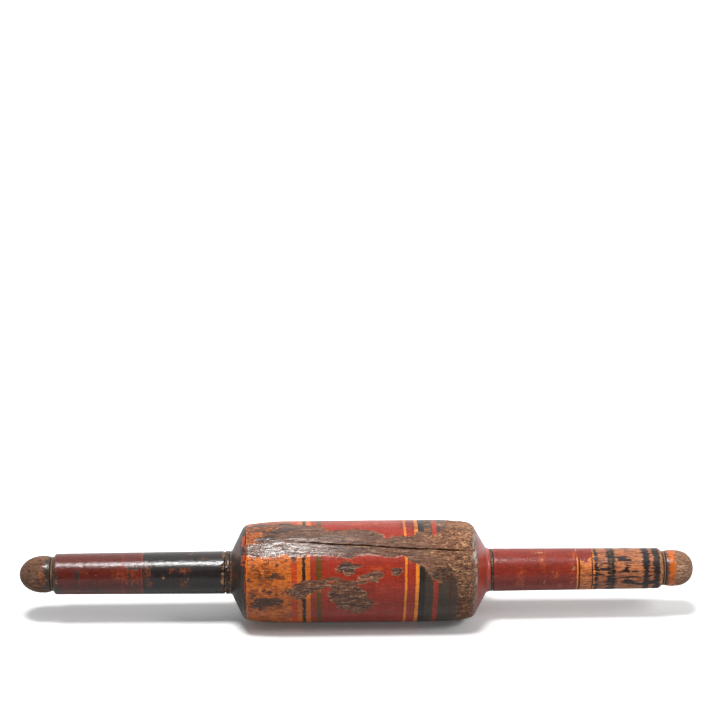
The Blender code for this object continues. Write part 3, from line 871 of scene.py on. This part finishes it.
def lac_over_wood(
    name,
    bands,
    wood=(BARE_DARK, BARE_MID, BARE_LIGHT),
    stain=BLACK,
    gloss=0.5,
    curl=0.0,
    barrel=False,
    thin_lac=THIN_LAC,
):
    """Coloured lac over wood. What the mesh stores says where it is worn off, thin or stained."""
    s = Shader(name)
    lac, clear = banded_lac(s, bands, barrel)
    clouds = s.noise(7.0, (1.5, 1, 1), shift=5.0)
    rings = s.noise(0.7, (1, 30, 30), shift=9.0)
    streaks = s.noise(0.9, (9, 1, 1), detail=5.0, rough=0.62, warp=0.2, shift=11.0)
    mottle = s.noise(1.1, (1.5, 1, 1), detail=5.0, rough=0.7, warp=0.4, shift=12.0)
    tone = s.add(s.blend(clouds, 0.88, 1.10), s.swing(rings, 0.14))
    tone = s.add(tone, s.swing(streaks, 0.20), s.swing(mottle, 0.30))
    lac = s.vector("SCALE", lac, scale=tone)
    # where the lac is thin, orange comes through in streaks
    marks = streaks if barrel else s.noise(0.8, (1, 5, 5), warp=0.3, shift=33.0)
    through = s.range(s.add(s.times(marks, 0.5), s.times(mottle, 0.5)), 0.35, 0.75)
    lac = s.mix(s.times(s.times(s.painted("thin"), through), 0.85), lac, thin_lac)
    # under a clear coat, dark lines of grain show, and browner clouds
    line_stretch = (4.5 if barrel else 9, 1, 1)
    lines = s.noise(0.85, line_stretch, detail=5.0, rough=0.66, warp=0.4, shift=14.0)
    cloud_grain = s.noise(3.5, (2, 1, 1), detail=5.0, rough=0.7, warp=0.6, shift=15.0)
    see_grain = s.math("MAXIMUM", s.range(lines, 0.50, 0.24), s.range(cloud_grain, 0.50, 0.85, 0.0, 0.8))
    lac = s.mix(s.times(see_grain, s.times(clear, 0.85)), lac, s.vector("MULTIPLY", lac, GRAIN_TINT))
    flecks = s.range(s.noise(0.75, (2.2, 1, 1), shift=16.0), 0.78, 0.92)
    lac = s.mix(s.times(flecks, 0.6), lac, s.vector("SCALE", lac, scale=0.25))
    if barrel:
        # painted highlight: grey sheen drawn on the right shoulder's rim
        lac = paint_rim_sheen(s, lac)

    fine = s.noise(0.95, (1.8, 1, 1), detail=5.0, rough=0.66, warp=0.5, shift=17.0)
    spike = s.noise(0.65, (10, 1, 1), warp=0.2, shift=19.0)
    if barrel:
        # burns: dense in the middle, and scattered specks round about
        specks = s.noise(1.0, (3, 1, 1), detail=5.0, rough=0.7, warp=0.3, shift=31.0)
        speckle = s.add(s.times(mottle, 0.5), s.times(specks, 0.5))
        burnt = s.math("SUBTRACT", s.range(s.painted("stain"), -2.6, 3.4), speckle)
        marked = s.range(burnt, -0.08, 0.25)
        grimy = s.times(s.painted("grime"), s.range(speckle, 0.75, 0.35))
        lac = s.mix(s.times(grimy, 0.9), lac, s.vector("MULTIPLY", lac, GRIME_TINT))
    else:
        smeared = s.add(s.painted("stain"), s.swing(fine, 0.4), s.swing(spike, 1.3))
        marked = s.range(smeared, -0.12, 0.15)
    lac = s.mix(s.times(marked, 0.97), lac, s.vector("SCALE", stain, scale=s.blend(mottle, 0.5, 1.6)))

    wood_color, wood_height = wood_grain(s, *wood, curl)
    if barrel:
        polish = s.range(s.x, 34, -46)  # hands have polished the bare wood towards the left end
        wood_color, wood_height = barrel_wood(s, wood_color, wood_height, clouds, marked, polish)
    edge = s.add(s.painted("bare"), s.swing(fine, 0.75), s.swing(spike, 0.35))
    bare = s.range(edge, -0.07, 0.07)
    # painted highlight: a pale tan line drawn round the bare places, where the broken edge of the lac catches
    # the light
    edge_highlight = s.times(s.range(edge, -0.40, -0.10), s.range(edge, 0.10, 0.02))
    edge_highlight = s.times(edge_highlight, s.range(s.noise(2.0, shift=23.0), 0.35, 0.75))
    color = s.mix(bare, lac, wood_color)
    color = s.mix(s.times(edge_highlight, 0.55), color, EDGE_HIGHLIGHT_TAN)

    lac_height = s.add(s.swing(s.noise(2.6, shift=27.0), 0.03), s.swing(rings, 0.006), s.swing(fine, 0.018))
    lac_height = s.add(lac_height, s.times(marked, 0.02), s.times(s.times(see_grain, clear), -0.03))
    height = s.blend(bare, s.add(lac_height, LAC_THICKNESS), wood_height)
    wear = s.noise(1.8, (2, 1, 1), shift=29.0)
    lac_rough = s.blend(wear, 0.24, 0.5)
    wood_rough = s.blend(wear, 0.45, 0.7)
    wood_coat = 0.1
    if barrel:
        wood_rough = s.blend(polish, wood_rough, 0.3)
        wood_coat = s.blend(polish, 0.25, 0.5)
        gloss = s.range(s.x, 63, 66, gloss, 0.9)  # the right shoulder has kept its shine
    roughness = s.blend(bare, lac_rough, wood_rough)
    coat = s.blend(bare, gloss, wood_coat)
    if barrel:
        # painted shade: the crack is drawn black inside, the darker the deeper it is
        depth = s.range(s.painted("slit"), 0.12, 0.5)
        color = s.mix(depth, color, SLIT_SHADE_BLACK)
        roughness = s.blend(depth, roughness, 0.9)
        coat = s.times(coat, s.math("SUBTRACT", 1.0, depth))
    s.bump(height)
    s.surface.inputs["Specular IOR Level"].default_value = 0.2
    return s.finish(color, roughness, coat, coat_roughness=0.1)


def plain_wood(name, grain, roughness):
    """Clean turned or split wood, as on the hidden axle and its wedges."""
    s = Shader(name)
    color, height = wood_grain(s, *grain)
    s.bump(s.times(height, 0.4))
    uneven = s.blend(s.noise(2.0), roughness - 0.1, roughness + 0.1)
    return s.finish(color, uneven)


def leather(name):
    """Worn hide: pebbled, with darker creases and a rubbed edge."""
    s = Shader(name)
    pebbles = s.noise(0.7, rough=0.65)
    layers = s.noise(0.3, (1, 18, 18), shift=3.0)
    tone = s.add(s.times(pebbles, 0.5), s.times(layers, 0.5))
    dark, mid, light = LEATHER
    color = s.shades(tone, (0.2, dark), (0.5, mid), (0.8, light))
    s.bump(s.add(s.swing(pebbles, 0.06), s.swing(layers, 0.05)))
    return s.finish(color, s.blend(pebbles, 0.45, 0.7))


# ---------------- pieces


def even_angles(columns):
    return np.linspace(0, 360, columns, endpoint=False)


def build_barrel():
    material = lac_over_wood("barrel_lac", BARREL_BANDS, stain=BURN_BROWN, gloss=0.3, barrel=True)
    outline = barrel_outline()
    angles = barrel_angles(outline)
    turned("worn_barrel", outline, angles, barrel_wear, "roller", material)


def build_handle(side):
    name = f"{SIDE_NAMES[side]}_handle"
    slot = f"{name}_lac"
    wood = HANDLE_GRAIN[side]
    if side == LEFT:
        material = lac_over_wood(
            slot, LEFT_HANDLE_BANDS, wood, LEFT_HANDLE_BROWN, gloss=0.62, thin_lac=HANDLE_RUST
        )
    else:
        material = lac_over_wood(slot, RIGHT_HANDLE_BANDS, wood, RING_BLACK, gloss=0.35)
    outline = handle_outline(side)
    angles = even_angles(HANDLE_COLUMNS)
    turned(f"worn_{name}", outline, angles, handle_wear(side), name, material)


def build_knob(side):
    name = f"{SIDE_NAMES[side]}_end_knob"
    material = lac_over_wood(f"{name}_lac", KNOB_BANDS[side], KNOB_GRAIN[side], KNOB_STAIN[side], curl=1.2)
    outline = knob_outline(side)
    angles = even_angles(KNOB_COLUMNS)
    turned(f"worn_{name}", outline, angles, knob_wear(side), "roller", material, closed=False)


def build_washer(name, wear, material):
    angles = even_angles(KNOB_COLUMNS)
    turned(f"worn_{name}", washer_outline(name), angles, washer_wear(*wear), "roller", material)


def build_washers(side):
    name = f"{SIDE_NAMES[side]}_neck_washer"
    slot = f"{name}_lac"
    build_washer(name, NECK_WASHER_WEAR[side], lac_over_wood(slot, WASHER_BANDS, WASHER_GRAIN))
    name = f"{SIDE_NAMES[side]}_end_washer"
    build_washer(name, END_WASHER_WEAR, leather(f"{name}_hide"))


def dress_inner_pieces():
    """The axle and the wedges keep their CAD shape, and show only where the gaps let light in."""
    for name in ("axle", "left_knob_wedge", "right_knob_wedge"):
        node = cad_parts[name]
        node.data.materials.clear()
        node.data.materials.append(plain_wood(f"{name}_wood", CLEAN_GRAIN, roughness=0.6))


# ---------------- stage

# Lengths are in metres from here on
FLOOR_HALF = 6.0
FLOOR_SEEN = 0.90
FLOOR_BOUNCE = 0.40  # the floor lights the pin from below less than its white look says
GLOW_REACH = (400, 1400)  # in millimetres from the middle
GLOW_STRENGTH = (0.05, 1.0)

# Each softbox's place, target, size and power
SOFTBOXES = {
    "key": ((-0.13, -0.22, 1.24), (-0.13, 0, 0.03), (0.40, 0.27), 18),
    "side": ((1.0, -0.45, 0.90), (0.1, 0, 0.03), (0.45, 0.45), 7),
}
# The studio's light by direction along y, from the viewer's side to the wall behind the pin
STUDIO_FADE = {"From Min": -0.3, "From Max": 0.6, "To Min": 0.16, "To Max": 1.0}


def stage():
    """A white table. Past the softboxes' reach it glows a little, so that it stays white all over."""
    mesh = bpy.data.meshes.new("floor")
    half = FLOOR_HALF
    corners = [(-half, -half, 0), (half, -half, 0), (half, half, 0), (-half, half, 0)]
    mesh.from_pydata(corners, [], [(0, 1, 2, 3)])
    floor = added("floor", mesh)
    s = Shader("white_table")
    seen = s.node("LightPath").outputs["Is Camera Ray"]
    tone = s.blend(seen, FLOOR_BOUNCE, FLOOR_SEEN)
    glow = s.range(s.vector("LENGTH", s.place), *GLOW_REACH, *GLOW_STRENGTH)
    s.fill(s.surface, {"Emission Color": (1, 1, 1), "Emission Strength": glow, "Specular IOR Level": 0.0})
    mesh.materials.append(s.finish(tone, roughness=0.8))


def softbox(name, place, target, size, power):
    data = bpy.data.lights.new(name, "AREA")
    data.shape = "RECTANGLE"
    data.size, data.size_y = size
    data.energy = power
    light = added(name, data)
    light.location = place
    light.rotation_euler = (Vector(target) - Vector(place)).to_track_quat("-Z", "Y").to_euler()


def lights():
    """A studio that is dim on the viewer's side. The camera sees white all round."""
    world = bpy.data.worlds.new("studio")
    world.use_nodes = True
    nodes, link = world.node_tree.nodes, world.node_tree.links.new
    direction = nodes.new("ShaderNodeTexCoord").outputs["Generated"]
    split = nodes.new("ShaderNodeSeparateXYZ")
    fade = nodes.new("ShaderNodeMapRange")
    fade.interpolation_type = "SMOOTHSTEP"
    for key, value in STUDIO_FADE.items():
        fade.inputs[key].default_value = value
    link(direction, split.inputs[0])
    link(split.outputs["Y"], fade.inputs["Value"])
    strength = nodes.new("ShaderNodeMix")
    link(nodes.new("ShaderNodeLightPath").outputs["Is Camera Ray"], strength.inputs[0])
    link(fade.outputs[0], strength.inputs[2])
    strength.inputs[3].default_value = 1.0
    background = nodes["Background"]
    background.inputs[0].default_value = (1, 1, 1, 1)
    link(strength.outputs[0], background.inputs[1])
    bpy.context.scene.world = world
    for name, settings in SOFTBOXES.items():
        softbox(name, *settings)


CAMERA_DISTANCE = 1.03
CAMERA_ELEVATION = 28.0
CAMERA_TURN = 1.2  # the left end is a little nearer
LENS = 90.5
TILT = 6.65  # the camera looks this far above the pin


def camera():
    elevation, turn, tilt = map(math.radians, (CAMERA_ELEVATION, CAMERA_TURN, TILT))
    target = Vector((0, 0, AXLE_HEIGHT * MM))
    level = -math.cos(elevation)
    away = Vector((math.sin(turn) * level, math.cos(turn) * level, math.sin(elevation)))
    right = Vector((0, 0, 1)).cross(away).normalized()
    up = away.cross(right)
    back = away * math.cos(tilt) - up * math.sin(tilt)
    up = back.cross(right)
    data = bpy.data.cameras.new("camera")
    data.lens = LENS
    matrix = Matrix((right, up, back)).transposed().to_4x4()
    matrix.translation = target + away * CAMERA_DISTANCE
    obj = added("camera", data)
    obj.matrix_world = matrix
    bpy.context.scene.camera = obj


def main():
    build_barrel()
    for side in (LEFT, RIGHT):
        build_handle(side)
        build_knob(side)
        build_washers(side)
    dress_inner_pieces()
    stage()
    lights()
    camera()
    bpy.context.scene.view_settings.view_transform = "Standard"


main()
